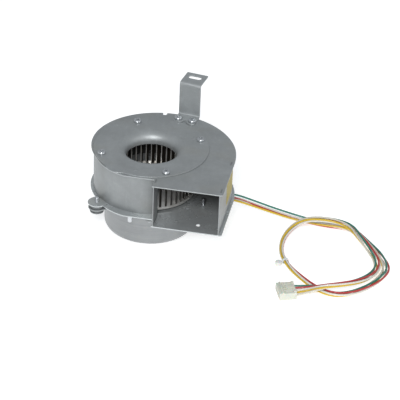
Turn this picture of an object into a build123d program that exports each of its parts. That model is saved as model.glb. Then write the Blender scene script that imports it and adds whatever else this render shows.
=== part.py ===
from build123d import *
import os
from math import cos, pi, radians, sin, sqrt, tan

# Small centrifugal combustion blower: a scroll housing of bent sheet, a squirrel-cage wheel inside it,
# a flat outer-rotor motor in a drawn can below, and the motor's five-wire harness.
# Millimetres. +Z runs up the wheel's axis, the outlet faces -Y, and the origin is the centre of the
# motor can's flat bottom. Angles are in degrees, counted anticlockwise from +X as seen from above.
os.makedirs("parts", exist_ok=True)

# ---------------------------------------------------------------- driving dimensions
# sheet thicknesses
plate_sheet = 1.0
wall_sheet = 0.8
inlet_sheet = 1.0
can_sheet = 0.8
motor_plate_sheet = 1.2

# stack of heights
can_height = 30.4
isolator_gap = 3.6
duct_height = 39.2

# scroll outline, outer face of the wall
tongue_radius = 44.6
scroll_growth = 28.4
scroll_power = 1.45
tongue_angle = 285.0
tongue_bend = 2.0
run_out_angle = 14.0
run_out_length = 12.0
outlet_left = 15.0
outlet_front = -62.5
top_overhang = 2.3
base_overhang = 2.6
shoulder_angle = 72.0

# base plate
dish_radius = 43.4
dish_depth = 1.5
dish_hole_radius = 10.5
ear_radius = 8.0
pilot_hole_radius = 1.8
pilot_hole_place = (53.0, -51.0)
stud_radius = 1.9
stud_reach = 6.0
stud_place = (-7.4, -49.2)

# top plate and inlet plate
wheel_door_radius = 41.5
inlet_plate_radius = 50.5
throat_radius = 22.0
bell_radius = 9.0
throat_length = 1.2
inlet_screw_circle = 45.0
inlet_screw_phase = 28.4

# bracket
bracket_width = 20.0
bracket_sheet = 1.2
bracket_rise = 32.0
bracket_flange = 20.0
bracket_angle = -9.0
bracket_x = 20.8
bracket_y = 62.6
bracket_slot_length = 12.0
bracket_slot_width = 5.5
bracket_slot_set_back = 12.7
bracket_screw_pitch = 13.0
bracket_screw_set_back = 9.8
bracket_bend = 1.2
bracket_lobe_radius = 5.2

# rating label on the straight side wall
label_length = 38.0
label_height = 24.0
label_low = 46.0
label_middle = -11.0
label_paper = 0.12

# M4 pan-head screws
m4_radius = 1.9
m4_head_radius = 3.5
m4_head_height = 2.6
m4_length = 6.0
screw_clearance = 0.15

# wheel
wheel_radius = 40.0
wheel_floor_gap = 1.2
wheel_ceiling_gap = 2.0
blade_depth = 6.5
blade_count = 46
blade_sheet = 0.5
ring_sheet = 0.8
rim_lip = 2.0
hub_radius = 7.0
hub_height = 9.0
hub_flange_radius = 12.5

# motor
can_radius = 40.5
can_corner = 6.0
can_flange_radius = 44.5
isolator_circle = 53.5
isolator_phase = -138.5
isolator_radius = 6.0
isolator_waist_radius = 4.25
sleeve_radius = 3.0
sleeve_bore_radius = 2.15
motor_ear_radius = 7.5
motor_screw_reach = 5.8
shaft_radius = 2.5
bearing_radius = 8.0
bearing_width = 5.0
bearing_tube_radius = 9.5
rotor_cup_radius = 28.2
rotor_sheet = 1.2
magnet_thickness = 3.0
air_gap = 0.5
stack_height = 9.0
pole_count = 9
board_radius = 36.0
board_thickness = 1.6

# harness
bundle_diameter = 4.5
grommet_angle = 18.0
grommet_height = 22.0
grommet_hole_radius = 4.2
grommet_flange_radius = 5.6
connector_length = 15.2
connector_width = 17.5
connector_height = 7.0
way_count = 5
way_pitch = 3.4
tie_width = 2.2
tie_sheet = 0.9
tie_head_radius = 3.1
tie_head_height = 4.0
tie_head_drop = 1.1
tie_place = 0.34

# Route of the bundle's centreline, from the grommet's outer face to the connector's back face.
harness_route = [
    (40.9, 13.3, 22.0),
    (50.4, 16.4, 22.6),
    (61.0, 21.0, 22.4),
    (73.0, 25.0, 20.4),
    (89.0, 26.5, 15.5),
    (106.0, 29.5, 9.5),
    (121.5, 32.0, 4.6),
    (136.5, 32.0, 2.3),
    (153.0, 29.5, 2.3),
    (168.5, 30.0, 2.3),
    (182.0, 26.0, 2.3),
    (195.0, 9.5, 2.3),
    (208.5, -8.0, 2.3),
    (216.5, -26.5, 2.3),
    (212.5, -44.5, 2.3),
    (202.5, -60.0, 2.3),
    (189.0, -73.0, 2.3),
    (174.5, -77.0, 2.3),
    (159.0, -70.5, 2.3),
    (143.5, -57.0, 2.5),
    (132.0, -44.5, 3.3),
    (122.5, -26.0, 3.4),
    (121.0, -4.5, 4.0),
    (127.0, 11.5, 7.5),
    (137.0, 19.0, 11.4),
    (149.5, 24.0, 11.4),
    (164.0, 26.0, 10.4),
    (178.0, 20.5, 10.4),
    (187.5, 5.5, 10.4),
    (198.5, -8.5, 7.5),
    (208.0, -23.0, 4.6),
    (207.0, -40.0, 4.6),
    (198.0, -58.0, 7.6),
    (183.0, -73.5, 11.4),
    (168.5, -80.0, 11.4),
    (155.3, -76.3, 4.3),
    (143.9, -80.65, 3.6),
]
connector_turn = 21.0

# ---------------------------------------------------------------- places worked out from them
motor_plate_z = can_height
motor_plate_top = motor_plate_z + motor_plate_sheet
base_z = motor_plate_top + isolator_gap
floor_z = base_z + plate_sheet
ceiling_z = floor_z + duct_height
top_z = ceiling_z + plate_sheet
inlet_top_z = top_z + inlet_sheet
outlet_right = tongue_radius + scroll_growth
wheel_z = floor_z + wheel_floor_gap
wheel_top_z = ceiling_z - wheel_ceiling_gap
blade_outer_radius = wheel_radius - ring_sheet
blade_inner_radius = wheel_radius - blade_depth


# ---------------------------------------------------------------- helpers
def polar(radius, angle):
    """A point at a radius and an angle in the plan."""
    return (radius * cos(radians(angle)), radius * sin(radians(angle)))


def tube(outer, inner, low, high):
    """A straight round tube on the Z axis."""
    height = high - low
    return Pos(0, 0, low + height / 2) * (Cylinder(outer, height) - Cylinder(inner, height))


def rod(radius, low, high, x=0.0, y=0.0):
    """A straight round bar along Z."""
    return Pos(x, y, (low + high) / 2) * Cylinder(radius, high - low)


def sideways(radius, start, end, height):
    """A straight round bar along X at a height."""
    return Pos((start + end) / 2, 0, height) * Rot(0, 90, 0) * Cylinder(radius, end - start)


def block(x_size, y_size, low, high, x=0.0, y=0.0):
    """A box between two heights, centred on x and y."""
    return Pos(x, y, (low + high) / 2) * Box(x_size, y_size, high - low)


def revolved(points):
    """A solid of revolution about Z, from (radius, height) corners."""
    return revolve(Plane.XZ * make_face(Polyline(*points, close=True)), Axis.Z)


def around(count, shape, phase=0.0):
    """Copies of a shape, evenly turned about Z."""
    return [Rot(0, 0, phase + 360.0 * k / count) * shape for k in range(count)]


def pan_screw(radius, head_radius, head_height, length):
    """A pan-head cross-recess screw: its seat is at z = 0 and its shank points down."""
    head = Pos(0, 0, head_height / 2) * Cylinder(head_radius, head_height)
    head = fillet(head.edges().group_by(Axis.Z)[-1], head_height * 0.55)
    shank = Pos(0, 0, -length / 2) * Cylinder(radius, length)
    shank = chamfer(shank.edges().group_by(Axis.Z)[0], radius * 0.3)
    depth = head_height * 0.55
    arm = block(head_radius * 1.05, head_radius * 0.26, head_height - depth, head_height + 1)
    return head + shank - arm - Rot(0, 0, 90) * arm


def pip(radius, height, sunk=0.2):
    """A shallow round pip on z = 0, reaching a little way down into what it is pressed from."""
    ball_radius = (radius ** 2 + height ** 2) / (2 * height)
    ball = Pos(0, 0, height - ball_radius) * Sphere(ball_radius)
    return ball & block(3 * radius, 3 * radius, -sunk, height + 1)


def lobed_disc(radius, lobes, blend, low, high):
    """A flat disc with round lobes, each a (distance, angle, radius), and fillets where they meet."""
    disc = Rot(0, 0, lobes[0][1]) * rod(radius, low, high)
    for distance, angle, lobe_radius in lobes:
        neck = block(distance, 2 * lobe_radius, low, high, distance / 2)
        lobe = Pos(distance, 0) * Rot(0, 0, 180) * rod(lobe_radius, low, high)
        disc += Rot(0, 0, angle) * (neck + lobe)
    corners = disc.edges().filter_by(GeomType.LINE).filter_by(Axis.Z)
    return fillet(corners, blend)


def save(node, *solids):
    """Write one node, as one solid or as a group of separate solids."""
    whole = solids[0] if len(solids) == 1 else Compound(children=list(solids))
    whole.label = node
    export_step(whole, f"parts/{node}.step")


# ---------------------------------------------------------------- scroll outline
def scroll_point(turned, offset):
    """A point of the scroll, turned degrees clockwise from the tongue, moved outwards by offset."""
    radius = tongue_radius + scroll_growth * (turned / tongue_angle) ** scroll_power + offset
    return polar(radius, tongue_angle - turned)


def scroll_curve(offset, first, count):
    """The scroll from `first` degrees past the tongue, run out smoothly onto the straight side wall."""
    step = (tongue_angle - run_out_angle - first) / (count - 1)
    places = [scroll_point(first + k * step, offset) for k in range(count)]
    side = outlet_right + offset
    return Spline(*places, (side, -run_out_length / 2), (side, -run_out_length))


def wall_face():
    """Plan of the bent wall, from the outlet's left edge round to its right edge."""
    outer = scroll_curve(0, 0, 14)
    inner = scroll_curve(-wall_sheet, 0, 14)
    start_out, end_out = outer @ 0, outer @ 1
    start_in, end_in = inner @ 0, inner @ 1
    slope = outer % 0
    rise = slope.Y / slope.X
    corner_out = (outlet_left, start_out.Y + (outlet_left - start_out.X) * rise)
    left_in = outlet_left + wall_sheet
    corner_in = (left_in, start_in.Y + (left_in - start_in.X) * rise)
    face = make_face([
        outer, inner,
        Line(end_out, (end_out.X, outlet_front)), Line((end_out.X, outlet_front), (end_in.X, outlet_front)),
        Line((end_in.X, outlet_front), end_in),
        Line(start_out, corner_out), Line(corner_out, (outlet_left, outlet_front)),
        Line((outlet_left, outlet_front), (left_in, outlet_front)),
        Line((left_in, outlet_front), corner_in), Line(corner_in, start_in),
    ])
    bends = {corner_out: tongue_bend, corner_in: tongue_bend + wall_sheet}
    for (x, y), radius in bends.items():
        near = face.vertices().sort_by_distance((x, y, 0))[0]
        face = fillet(near, radius)
    return face


def plate_face(overhang, shoulder):
    """Plan of a housing plate: the scroll with an overhang, closed by the front-left shoulder's points."""
    curve = scroll_curve(overhang, shoulder_angle, 12)
    right = (curve @ 1).X
    front_left = (outlet_left - 1.0, outlet_front)
    start = curve @ 0
    bend = shoulder[0]
    face = make_face([
        curve,
        Line(curve @ 1, (right, outlet_front)), Line((right, outlet_front), front_left),
        Polyline(front_left, *shoulder[::-1]),
        Spline(bend, ((bend[0] + start.X) / 2 - 2.4, (bend[1] + start.Y) / 2 - 3.4), start),
    ])
    corner = face.vertices().sort_by_distance((right, outlet_front, 0))[0]
    return fillet(corner, 2.0)


# wall tabs that pass through slots in both plates: x, y of their centres on the straight sides
tab_length = 5.0
tab_proud = 0.2
tab_clearance = 0.12
tab_places = [
    (outlet_left + wall_sheet / 2, outlet_front + 9.5),
    (outlet_right - wall_sheet / 2, outlet_front + 7.5),
    (outlet_right - wall_sheet / 2, -9.0),
]


def tab_slots(low, high):
    size = (wall_sheet + 2 * tab_clearance, tab_length + 2 * tab_clearance)
    return [block(*size, low, high, x, y) for x, y in tab_places]


isolator_places = [polar(isolator_circle, isolator_phase + 120 * k) for k in range(3)]
inlet_screw_places = [polar(inlet_screw_circle, inlet_screw_phase + 90 * k) for k in range(4)]


# ---------------------------------------------------------------- housing
def base_plate():
    ear_x, ear_y = isolator_places[0]
    shoulder = [(-13.0, -51.6), (outlet_left - 1.0, -51.6)]
    outline = plate_face(base_overhang, shoulder) + Pos(ear_x, ear_y) * Circle(ear_radius)
    plate = Pos(0, 0, base_z) * extrude(outline, plate_sheet)
    ledge = plate_sheet * 1.2
    dish = revolved([
        (0, base_z - dish_depth), (dish_radius - ledge, base_z - dish_depth), (dish_radius, base_z),
        (dish_radius, floor_z), (dish_radius - ledge, floor_z - dish_depth), (0, floor_z - dish_depth),
    ])
    plate = plate - rod(dish_radius, base_z - 1, floor_z + 1) + dish
    plate -= rod(dish_hole_radius, base_z - 3, floor_z + 1)
    for x, y in isolator_places:
        plate -= rod(m4_radius + 0.05, base_z - 1, floor_z + 1, x, y)
    plate -= rod(pilot_hole_radius, base_z - 1, floor_z + 1, *pilot_hole_place)
    for slot in tab_slots(base_z - 1, floor_z + 1):
        plate -= slot
    for x, y, radius in [(39.0, -26.5, 1.8), (33.7, -49.5, 2.0)]:
        plate += Pos(x, y, floor_z) * pip(radius, 0.6)
    return plate


def scroll_wall():
    wall = Pos(0, 0, floor_z) * extrude(wall_face(), duct_height)
    for x, y in tab_places:
        wall += block(wall_sheet, tab_length, base_z - tab_proud, floor_z, x, y)
        wall += block(wall_sheet, tab_length, ceiling_z, top_z + tab_proud, x, y)
    return wall


def top_plate():
    shoulder = [(-13.0, -51.4), (outlet_left - 1.0, -51.4)]
    plate = Pos(0, 0, ceiling_z) * extrude(plate_face(top_overhang, shoulder), plate_sheet)
    plate -= rod(wheel_door_radius, ceiling_z - 1, top_z + 1)
    for x, y in inlet_screw_places + bracket_screw_places():
        collar = rod(m4_radius + 0.9, ceiling_z - 1.0, ceiling_z, x, y)
        plate = plate + collar - rod(m4_radius + 0.05, ceiling_z - 2, top_z + 1, x, y)
    for slot in tab_slots(ceiling_z - 1, top_z + 1):
        plate -= slot
    notch = extrude(make_face(Polyline((-2.2, 2), (-1.4, -3.6), (1.4, -3.6), (2.2, 2), close=True)), 4)
    rim_x, rim_y = scroll_point(tongue_angle - 91, top_overhang)
    plate -= Pos(rim_x, rim_y, ceiling_z - 1) * notch
    plate += Pos(26.3, 44.8, top_z) * pip(1.5, 0.6)
    return plate


def inlet_plate():
    plate = lobed_disc(inlet_plate_radius, [(41.5, -118.0, 12.5)], 6.0, top_z, inlet_top_z)
    bell_outer = throat_radius + bell_radius
    plate -= rod(bell_outer, top_z - 1, inlet_top_z + 1)
    lip_z = inlet_top_z - bell_radius - throat_length
    inside = JernArc((bell_outer, inlet_top_z), (-1, 0), bell_radius, 90)
    outside = JernArc((bell_outer, top_z), (-1, 0), bell_radius - inlet_sheet, 90)
    mouth = make_face([
        inside, Line(inside @ 1, (throat_radius, lip_z)),
        Line((throat_radius, lip_z), (throat_radius + inlet_sheet, lip_z)),
        Line((throat_radius + inlet_sheet, lip_z), outside @ 1), outside,
        Line(outside @ 0, inside @ 0),
    ])
    plate += revolve(Plane.XZ * mouth, Axis.Z)
    for x, y in inlet_screw_places:
        plate -= rod(m4_radius + screw_clearance, top_z - 1, inlet_top_z + 1, x, y)
    for x, y in [(-4.6, -41.8), (33.3, 22.4)]:
        plate += Pos(x, y, inlet_top_z) * pip(2.3, 0.7)
    return plate


def bracket_frame():
    """The bracket's own axes: x along its width, y backwards, z up, from the top plate's surface."""
    return Location((bracket_x, bracket_y, top_z), (0, 0, bracket_angle))


def bracket_screw_places():
    places = []
    for side in (-1, 1):
        spot = bracket_frame() * Pos(side * bracket_screw_pitch / 2, -bracket_screw_set_back, 0)
        places.append((spot.position.X, spot.position.Y))
    return places


def mounting_bracket():
    height = bracket_sheet + bracket_rise
    foot = bracket_screw_set_back + 6.0
    profile = make_face(Polyline(
        (-foot, 0), (bracket_sheet, 0), (bracket_sheet, height - bracket_sheet),
        (bracket_flange, height - bracket_sheet), (bracket_flange, height), (0, height),
        (0, bracket_sheet), (-foot, bracket_sheet), close=True,
    ))
    inner = [(0, bracket_sheet), (bracket_sheet, height - bracket_sheet)]
    outer = [(bracket_sheet, 0), (0, height)]
    for corners, radius in ((inner, bracket_bend), (outer, bracket_bend + bracket_sheet)):
        for y, z in corners:
            near = profile.vertices().sort_by_distance((y, z, 0))[0]
            profile = fillet(near, radius)
    strip = extrude(Plane.YZ * profile, bracket_width / 2, both=True)
    lobes = Pos(0, -bracket_screw_set_back) * Rectangle(bracket_width, 4.0, align=(Align.CENTER, Align.MIN))
    reach = bracket_flange + bracket_screw_set_back
    lobes += Pos(0, -bracket_screw_set_back + 2) * Rectangle(
        bracket_width, reach, align=(Align.CENTER, Align.MIN))
    for side in (-1, 1):
        lobes += Pos(side * bracket_screw_pitch / 2, -bracket_screw_set_back) * Circle(bracket_lobe_radius)
    corners = lobes.vertices().group_by(Axis.Y)[-1]
    lobes = fillet(corners, 3.0)
    strip &= extrude(lobes, height + 1)
    strip -= bracket_frame().inverse() * rod(inlet_plate_radius + 0.4, top_z - 1, inlet_top_z + 1)
    slot = SlotOverall(bracket_slot_length, bracket_slot_width)
    strip -= Pos(0, bracket_slot_set_back, height - 5) * extrude(slot, 10)
    for side in (-1, 1):
        strip -= rod(m4_radius + screw_clearance, -1, 3, side * bracket_screw_pitch / 2, -bracket_screw_set_back)
    return bracket_frame() * strip


def side_label():
    """A blank rating label on the side wall, wrapped a little way round the scroll."""
    outer = scroll_curve(label_paper, 0, 14)
    inner = scroll_curve(0.0, 0, 14)
    end_out, end_in = outer @ 1, inner @ 1
    front = label_middle - label_length / 2 + 0.5
    skin = make_face([
        outer, inner, Line(outer @ 0, inner @ 0), Line(end_out, (end_out.X, front)),
        Line((end_out.X, front), (end_in.X, front)), Line((end_in.X, front), end_in),
    ])
    band = Pos(0, 0, label_low) * extrude(skin, label_height)
    return band & block(30, label_length, base_z, top_z, outlet_right, label_middle)


def base_stud():
    stud = rod(stud_radius, base_z - stud_reach, base_z, *stud_place)
    return fillet(stud.edges().group_by(Axis.Z)[0], stud_radius * 0.45)


m4 = pan_screw(m4_radius, m4_head_radius, m4_head_height, m4_length)
bracket_top = top_z + bracket_sheet
save("base_plate", base_plate())
save("scroll_wall", scroll_wall())
save("top_plate", top_plate())
save("inlet_plate", inlet_plate())
save("inlet_screws", *[Location((x, y, inlet_top_z), (0, 0, 20 + 37 * k)) * m4
                       for k, (x, y) in enumerate(inlet_screw_places)])
save("mounting_bracket", mounting_bracket())
save("bracket_screws", *[Location((x, y, bracket_top), (0, 0, 10 + 50 * k)) * m4
                         for k, (x, y) in enumerate(bracket_screw_places())])
save("side_label", side_label())
save("base_stud", base_stud())


# ---------------------------------------------------------------- motor, standing parts
can_ear_circle = 43.9
can_ear_radius = 4.2
can_ear_phase = isolator_phase + 60
m3_radius = 1.45
can_ear_places = [polar(can_ear_circle, can_ear_phase + 120 * k) for k in range(3)]


def can_ears():
    return [(can_ear_circle, can_ear_phase + 120 * k, can_ear_radius) for k in range(3)]


def motor_plate():
    lobes = can_ears() + [(isolator_circle, isolator_phase + 120 * k, motor_ear_radius) for k in range(3)]
    plate = lobed_disc(can_flange_radius, lobes, 3.0, motor_plate_z, motor_plate_top)
    plate -= rod(bearing_tube_radius, motor_plate_z - 1, motor_plate_top + 1)
    for x, y in isolator_places:
        plate -= rod(isolator_waist_radius, motor_plate_z - 1, motor_plate_top + 1, x, y)
    for x, y in can_ear_places:
        plate -= rod(m3_radius + 0.05, motor_plate_z - 1, motor_plate_top + 1, x, y)
    return plate


def motor_can():
    outside = Pos(0, 0, can_height / 2) * Cylinder(can_radius, can_height)
    outside = fillet(outside.edges().group_by(Axis.Z)[0], can_corner)
    inner_height = can_height - can_sheet
    inside = Pos(0, 0, can_sheet + inner_height / 2) * Cylinder(can_radius - can_sheet, inner_height)
    inside = fillet(inside.edges().group_by(Axis.Z)[0], can_corner - can_sheet)
    rim = lobed_disc(can_flange_radius, can_ears(), 3.0, can_height - can_sheet, can_height)
    can = outside + rim - inside
    for x, y in can_ear_places:
        can -= rod(m3_radius + screw_clearance, can_height - 2, can_height + 1, x, y)
    bore = Pos(can_radius, 0, grommet_height) * Rot(0, 90, 0) * Cylinder(grommet_hole_radius, 8)
    return can - Rot(0, 0, grommet_angle) * bore


sleeve_low = motor_plate_z - 2.8
washer_low = sleeve_low - 0.8


def isolator():
    body = tube(isolator_radius, sleeve_radius, sleeve_low + 0.3, base_z - 0.3)
    groove = tube(isolator_radius + 1, isolator_waist_radius, motor_plate_z, motor_plate_top)
    return body - groove


motor_screw_length = floor_z + motor_screw_reach - washer_low
motor_screw = Rot(180, 0, 0) * pan_screw(m4_radius, m4_head_radius, m4_head_height, motor_screw_length)
can_screw = Rot(180, 0, 0) * pan_screw(m3_radius, 2.7, 1.9, can_sheet + motor_plate_sheet + 1.2)
save("motor_plate", motor_plate())
save("motor_can", motor_can())
save("can_screws", *[Pos(x, y, can_height - can_sheet) * can_screw for x, y in can_ear_places])
save("isolator_grommets", *[Pos(x, y) * isolator() for x, y in isolator_places])
sleeve = tube(sleeve_radius, sleeve_bore_radius, sleeve_low, base_z)
save("isolator_sleeves", *[Pos(x, y) * sleeve for x, y in isolator_places])
washer = tube(isolator_radius, sleeve_bore_radius, washer_low, sleeve_low)
save("motor_washers", *[Pos(x, y) * washer for x, y in isolator_places])
save("motor_screws", *[Pos(x, y, washer_low) * motor_screw for x, y in isolator_places])

tube_low = 8.0
lower_bearing_z = tube_low + 0.6
upper_bearing_z = motor_plate_top - 0.6 - bearing_width
bearing_pitch_radius = 5.25
ball_radius = 1.5
ball_count = 7
ring_wall = 1.5


def bearing_tube():
    wall = tube(bearing_tube_radius, bearing_radius - 0.7, tube_low, motor_plate_top)
    collar = tube(bearing_tube_radius + 3.5, bearing_tube_radius - 0.5, motor_plate_z - 1.5, motor_plate_z)
    lower_seat = rod(bearing_radius, tube_low - 1, lower_bearing_z + bearing_width)
    upper_seat = rod(bearing_radius, upper_bearing_z, motor_plate_top + 1)
    return wall + collar - lower_seat - upper_seat


def bearing_groove():
    ring = Pos(bearing_pitch_radius, bearing_width / 2) * Circle(ball_radius + 0.03)
    return revolve(Plane.XZ * ring, Axis.Z)


outer_ring = tube(bearing_radius, bearing_radius - ring_wall, 0, bearing_width) - bearing_groove()
inner_ring = tube(shaft_radius + ring_wall, shaft_radius, 0, bearing_width) - bearing_groove()
ball = Pos(bearing_pitch_radius, 0, bearing_width / 2) * Sphere(ball_radius)
shield = tube(bearing_radius - ring_wall, shaft_radius + ring_wall + 0.1, 0, 0.3)
shields = []
for name, low in (("lower", lower_bearing_z), ("upper", upper_bearing_z)):
    save(f"{name}_bearing_outer", Pos(0, 0, low) * outer_ring)
    save(f"{name}_bearing_inner", Pos(0, 0, low) * inner_ring)
    save(f"{name}_bearing_balls", *[Pos(0, 0, low) * b for b in around(ball_count, ball)])
    shields += [Pos(0, 0, low) * shield, Pos(0, 0, low + bearing_width - 0.3) * shield]
save("bearing_shields", *shields)
save("bearing_tube", bearing_tube())

rotor_floor_z = 3.2
magnet_inner = rotor_cup_radius - rotor_sheet - magnet_thickness
stator_radius = magnet_inner - air_gap
stack_low = 9.2
stack_high = stack_low + stack_height
yoke_radius = bearing_tube_radius + 4.0
tooth_width = 3.6
shoe_radius = stator_radius - 2.0
end_cap = 0.8


def stator_plan(tooth, shoe_depth):
    """Plan of the stator: a yoke ring, its teeth and, where shoe_depth is given, their shoes."""
    plan = Circle(yoke_radius)
    for k in range(pole_count):
        bar = Pos(shoe_radius / 2 + 0.25, 0) * Rectangle(shoe_radius + 0.5, tooth)
        plan += Rot(0, 0, 360 * k / pole_count) * bar
    if shoe_depth:
        shoes = Circle(stator_radius) - Circle(stator_radius - shoe_depth)
        for k in range(pole_count):
            gap = Pos(stator_radius, 0) * Rectangle(8, 2.2)
            shoes -= Rot(0, 0, 360 * (k + 0.5) / pole_count) * gap
        plan += shoes
    return plan - Circle(bearing_tube_radius)


def coil():
    """One coil round a tooth, with rounded heads over the stack's ends."""
    low, high = stack_low - end_cap, stack_high + end_cap
    build_up = 1.6
    wound = Box(6.6, tooth_width + 2 * build_up, high - low + 2 * build_up)
    wound = fillet(wound.edges().filter_by(Axis.X), 1.5)
    hole = Box(8, tooth_width, high - low)
    middle = (yoke_radius + shoe_radius) / 2
    return Pos(middle, 0, (low + high) / 2) * (wound - hole)


save("stator_core", Pos(0, 0, stack_low) * extrude(stator_plan(tooth_width, 2.0), stack_height))
cap = extrude(stator_plan(tooth_width, 0.0), end_cap)
save("stator_insulators", Pos(0, 0, stack_low - end_cap) * cap, Pos(0, 0, stack_high) * cap)
save("stator_coils", *around(pole_count, coil()))

board_z = 22.6
board_top = board_z + board_thickness
board_post_circle = 32.0
board_post_places = [polar(board_post_circle, can_ear_phase + 120 * k) for k in range(3)]
board = tube(board_radius, bearing_tube_radius + 1.5, board_z, board_top)
post = Pos(0, 0, board_top) * extrude(RegularPolygon(2.9, 6), motor_plate_z - board_top)
board_screw = Rot(180, 0, 0) * pan_screw(1.2, 2.2, 1.5, 4.0)
for x, y in board_post_places:
    board -= rod(1.3, board_z - 1, board_top + 1, x, y)
posts = [Pos(x, y) * post - rod(1.2, board_top - 1, board_top + 3.2, x, y) for x, y in board_post_places]
save("circuit_board", board)
save("board_spacers", *posts)
save("board_screws", *[Pos(x, y, board_z) * board_screw for x, y in board_post_places])
chip_x, chip_y = polar(24.0, 78.0)
save("driver_chip", Location((chip_x, chip_y, board_top + 1.25), (0, 0, 78)) * Box(9, 12, 2.5))
cap_x, cap_y = polar(25.0, -50.0)
save("smoothing_capacitor", rod(4.0, board_top, board_top + 5.2, cap_x, cap_y))
hall = Box(1.4, 3.0, 1.2)
save("hall_sensors", *[Location((*polar(magnet_inner + 1.5, a), board_z - 0.6), (0, 0, a)) * hall
                       for a in (10, 50, 90)])

# ---------------------------------------------------------------- rotor
boss_top = lower_bearing_z - 0.9
rotor_wall_top = stack_high + 1.8
shaft = rod(shaft_radius, rotor_floor_z - 0.6, wheel_z + ring_sheet + hub_height + 3.6)
shaft = chamfer(shaft.edges().group_by(Axis.Z)[-1], 0.4)
clip_low = upper_bearing_z + bearing_width + 0.05
shaft -= tube(shaft_radius + 1, shaft_radius - 0.4, clip_low, clip_low + 0.6)
boss = tube(6.0, shaft_radius, rotor_floor_z, boss_top)
cup = tube(rotor_cup_radius, rotor_cup_radius - rotor_sheet, rotor_floor_z, rotor_wall_top)
cup += tube(rotor_cup_radius, 6.0, rotor_floor_z, rotor_floor_z + rotor_sheet)
cup = fillet(cup.edges().group_by(Axis.Z)[0].sort_by(SortBy.RADIUS)[-1], 1.1)
magnet = tube(rotor_cup_radius - rotor_sheet, magnet_inner, stack_low - 2.2, stack_high + 1.2)
spring = tube(3.9, shaft_radius + 0.1, boss_top, lower_bearing_z)
clip = tube(5.0, shaft_radius - 0.4, clip_low, clip_low + 0.6)
clip -= block(6, 2.6, clip_low - 1, clip_low + 2, 4.2, 0)
save("shaft", shaft)
save("rotor_boss", boss)
save("rotor_cup", cup)
save("rotor_magnet", magnet)
save("spring_washer", spring)
save("retaining_clip", clip)

hub_z = wheel_z + ring_sheet
rivet_circle = 10.0
rivet_places = [polar(rivet_circle, 45 + 90 * k) for k in range(4)]


def wheel_back_plate():
    disc = tube(wheel_radius, shaft_radius + 0.1, wheel_z, hub_z)
    lip = tube(wheel_radius, blade_outer_radius, wheel_z, wheel_z + rim_lip)
    plate = disc + lip
    for x, y in rivet_places:
        plate -= rod(1.25, wheel_z - 1, hub_z + 1, x, y)
    return plate


def wheel_front_ring():
    flat = tube(wheel_radius, blade_inner_radius - 0.4, wheel_top_z - ring_sheet, wheel_top_z)
    lip = tube(wheel_radius, blade_outer_radius, wheel_top_z - rim_lip, wheel_top_z)
    return flat + lip


def wheel_blades():
    """Forward-curved blades, each standing between the back plate and the front ring."""
    low, high = hub_z, wheel_top_z - ring_sheet
    root = (blade_inner_radius, 0.0)
    tip = polar(blade_outer_radius - blade_sheet / 2 - 0.05, -4.2)
    belly = ((root[0] + tip[0]) / 2 + 0.35, (root[1] + tip[1]) / 2 + 1.0)
    section = trace(ThreePointArc(root, belly, tip), line_width=blade_sheet)
    return around(blade_count, Pos(0, 0, low) * extrude(section, high - low))


def wheel_hub():
    flange = tube(hub_flange_radius, shaft_radius, hub_z, hub_z + 1.6)
    boss_part = tube(hub_radius, shaft_radius, hub_z, hub_z + 1.6 + hub_height)
    hub = flange + boss_part
    for x, y in rivet_places:
        hub -= rod(1.25, hub_z - 1, hub_z + 3, x, y)
    return hub - sideways(set_screw_radius, 0, 20, set_screw_z)


set_screw_z = hub_z + 6.4
set_screw_radius = 2.0
rivet = rod(1.25, wheel_z, hub_z + 1.6)
rivet += Pos(0, 0, hub_z + 1.6) * pip(2.2, 0.9, 0.0) + rod(1.9, wheel_z - 0.35, wheel_z)
set_screw = sideways(set_screw_radius, shaft_radius, shaft_radius + 4.0, set_screw_z)
socket = Pos(shaft_radius + 2.2, 0, set_screw_z) * Rot(0, 90, 0) * extrude(RegularPolygon(1.1, 6), 4)
save("wheel_back_plate", wheel_back_plate())
save("wheel_front_ring", wheel_front_ring())
save("wheel_blades", *wheel_blades())
save("wheel_hub", wheel_hub())
save("hub_rivets", *[Pos(x, y) * rivet for x, y in rivet_places])
save("hub_set_screw", set_screw - socket)


# ---------------------------------------------------------------- harness
def cable_grommet():
    """A rubber grommet in the can's side: a waist in the hole between two flanges."""
    inside_face = sqrt(can_radius ** 2 - grommet_flange_radius ** 2) - can_sheet
    length = can_radius + 2.6 - (inside_face - 1.8)
    body = Pos(0, 0, inside_face - 1.8) * extrude(Circle(grommet_flange_radius), length)
    body = fillet(body.edges().group_by(Axis.Z)[-1], 1.0)
    turned = Location((0, 0, grommet_height), (0, 90, 0)) * body
    collar = tube(can_radius, can_radius - can_sheet, grommet_height - 8, grommet_height + 8)
    waist = Location((0, 0, grommet_height), (0, 90, 0)) * extrude(Circle(grommet_hole_radius), can_radius + 4)
    bore = Location((0, 0, grommet_height), (0, 90, 0)) * extrude(Circle(bundle_diameter / 2), can_radius + 4)
    return Rot(0, 0, grommet_angle) * (turned - (collar - waist) - bore)


def route_radii(points):
    """For each inner point, 0.45 of the shorter run divided by the tangent of half the turn."""
    radii = []
    for before, here, after in zip(points, points[1:], points[2:]):
        arriving = Vector(*here) - Vector(*before)
        leaving = Vector(*after) - Vector(*here)
        turn = arriving.get_angle(leaving)
        radii.append(0.45 * min(arriving.length, leaving.length) / tan(radians(turn / 2)))
    return radii


def harness():
    radii = route_radii(harness_route)
    path = FilletPolyline(*harness_route, radius=radii)
    print("harness radii:", [round(r, 1) for r in radii])
    print("harness length:", round(path.length, 1))
    solid = sweep(Plane(path @ 0, z_dir=path % 0) * Circle(bundle_diameter / 2), path)
    section = pi * bundle_diameter ** 2 / 4
    print("harness volume over section times length:", round(solid.volume / (section * path.length), 4))
    return solid


connector_back = harness_route[-1]
connector_frame = Location(connector_back, (0, 0, connector_turn))


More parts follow.
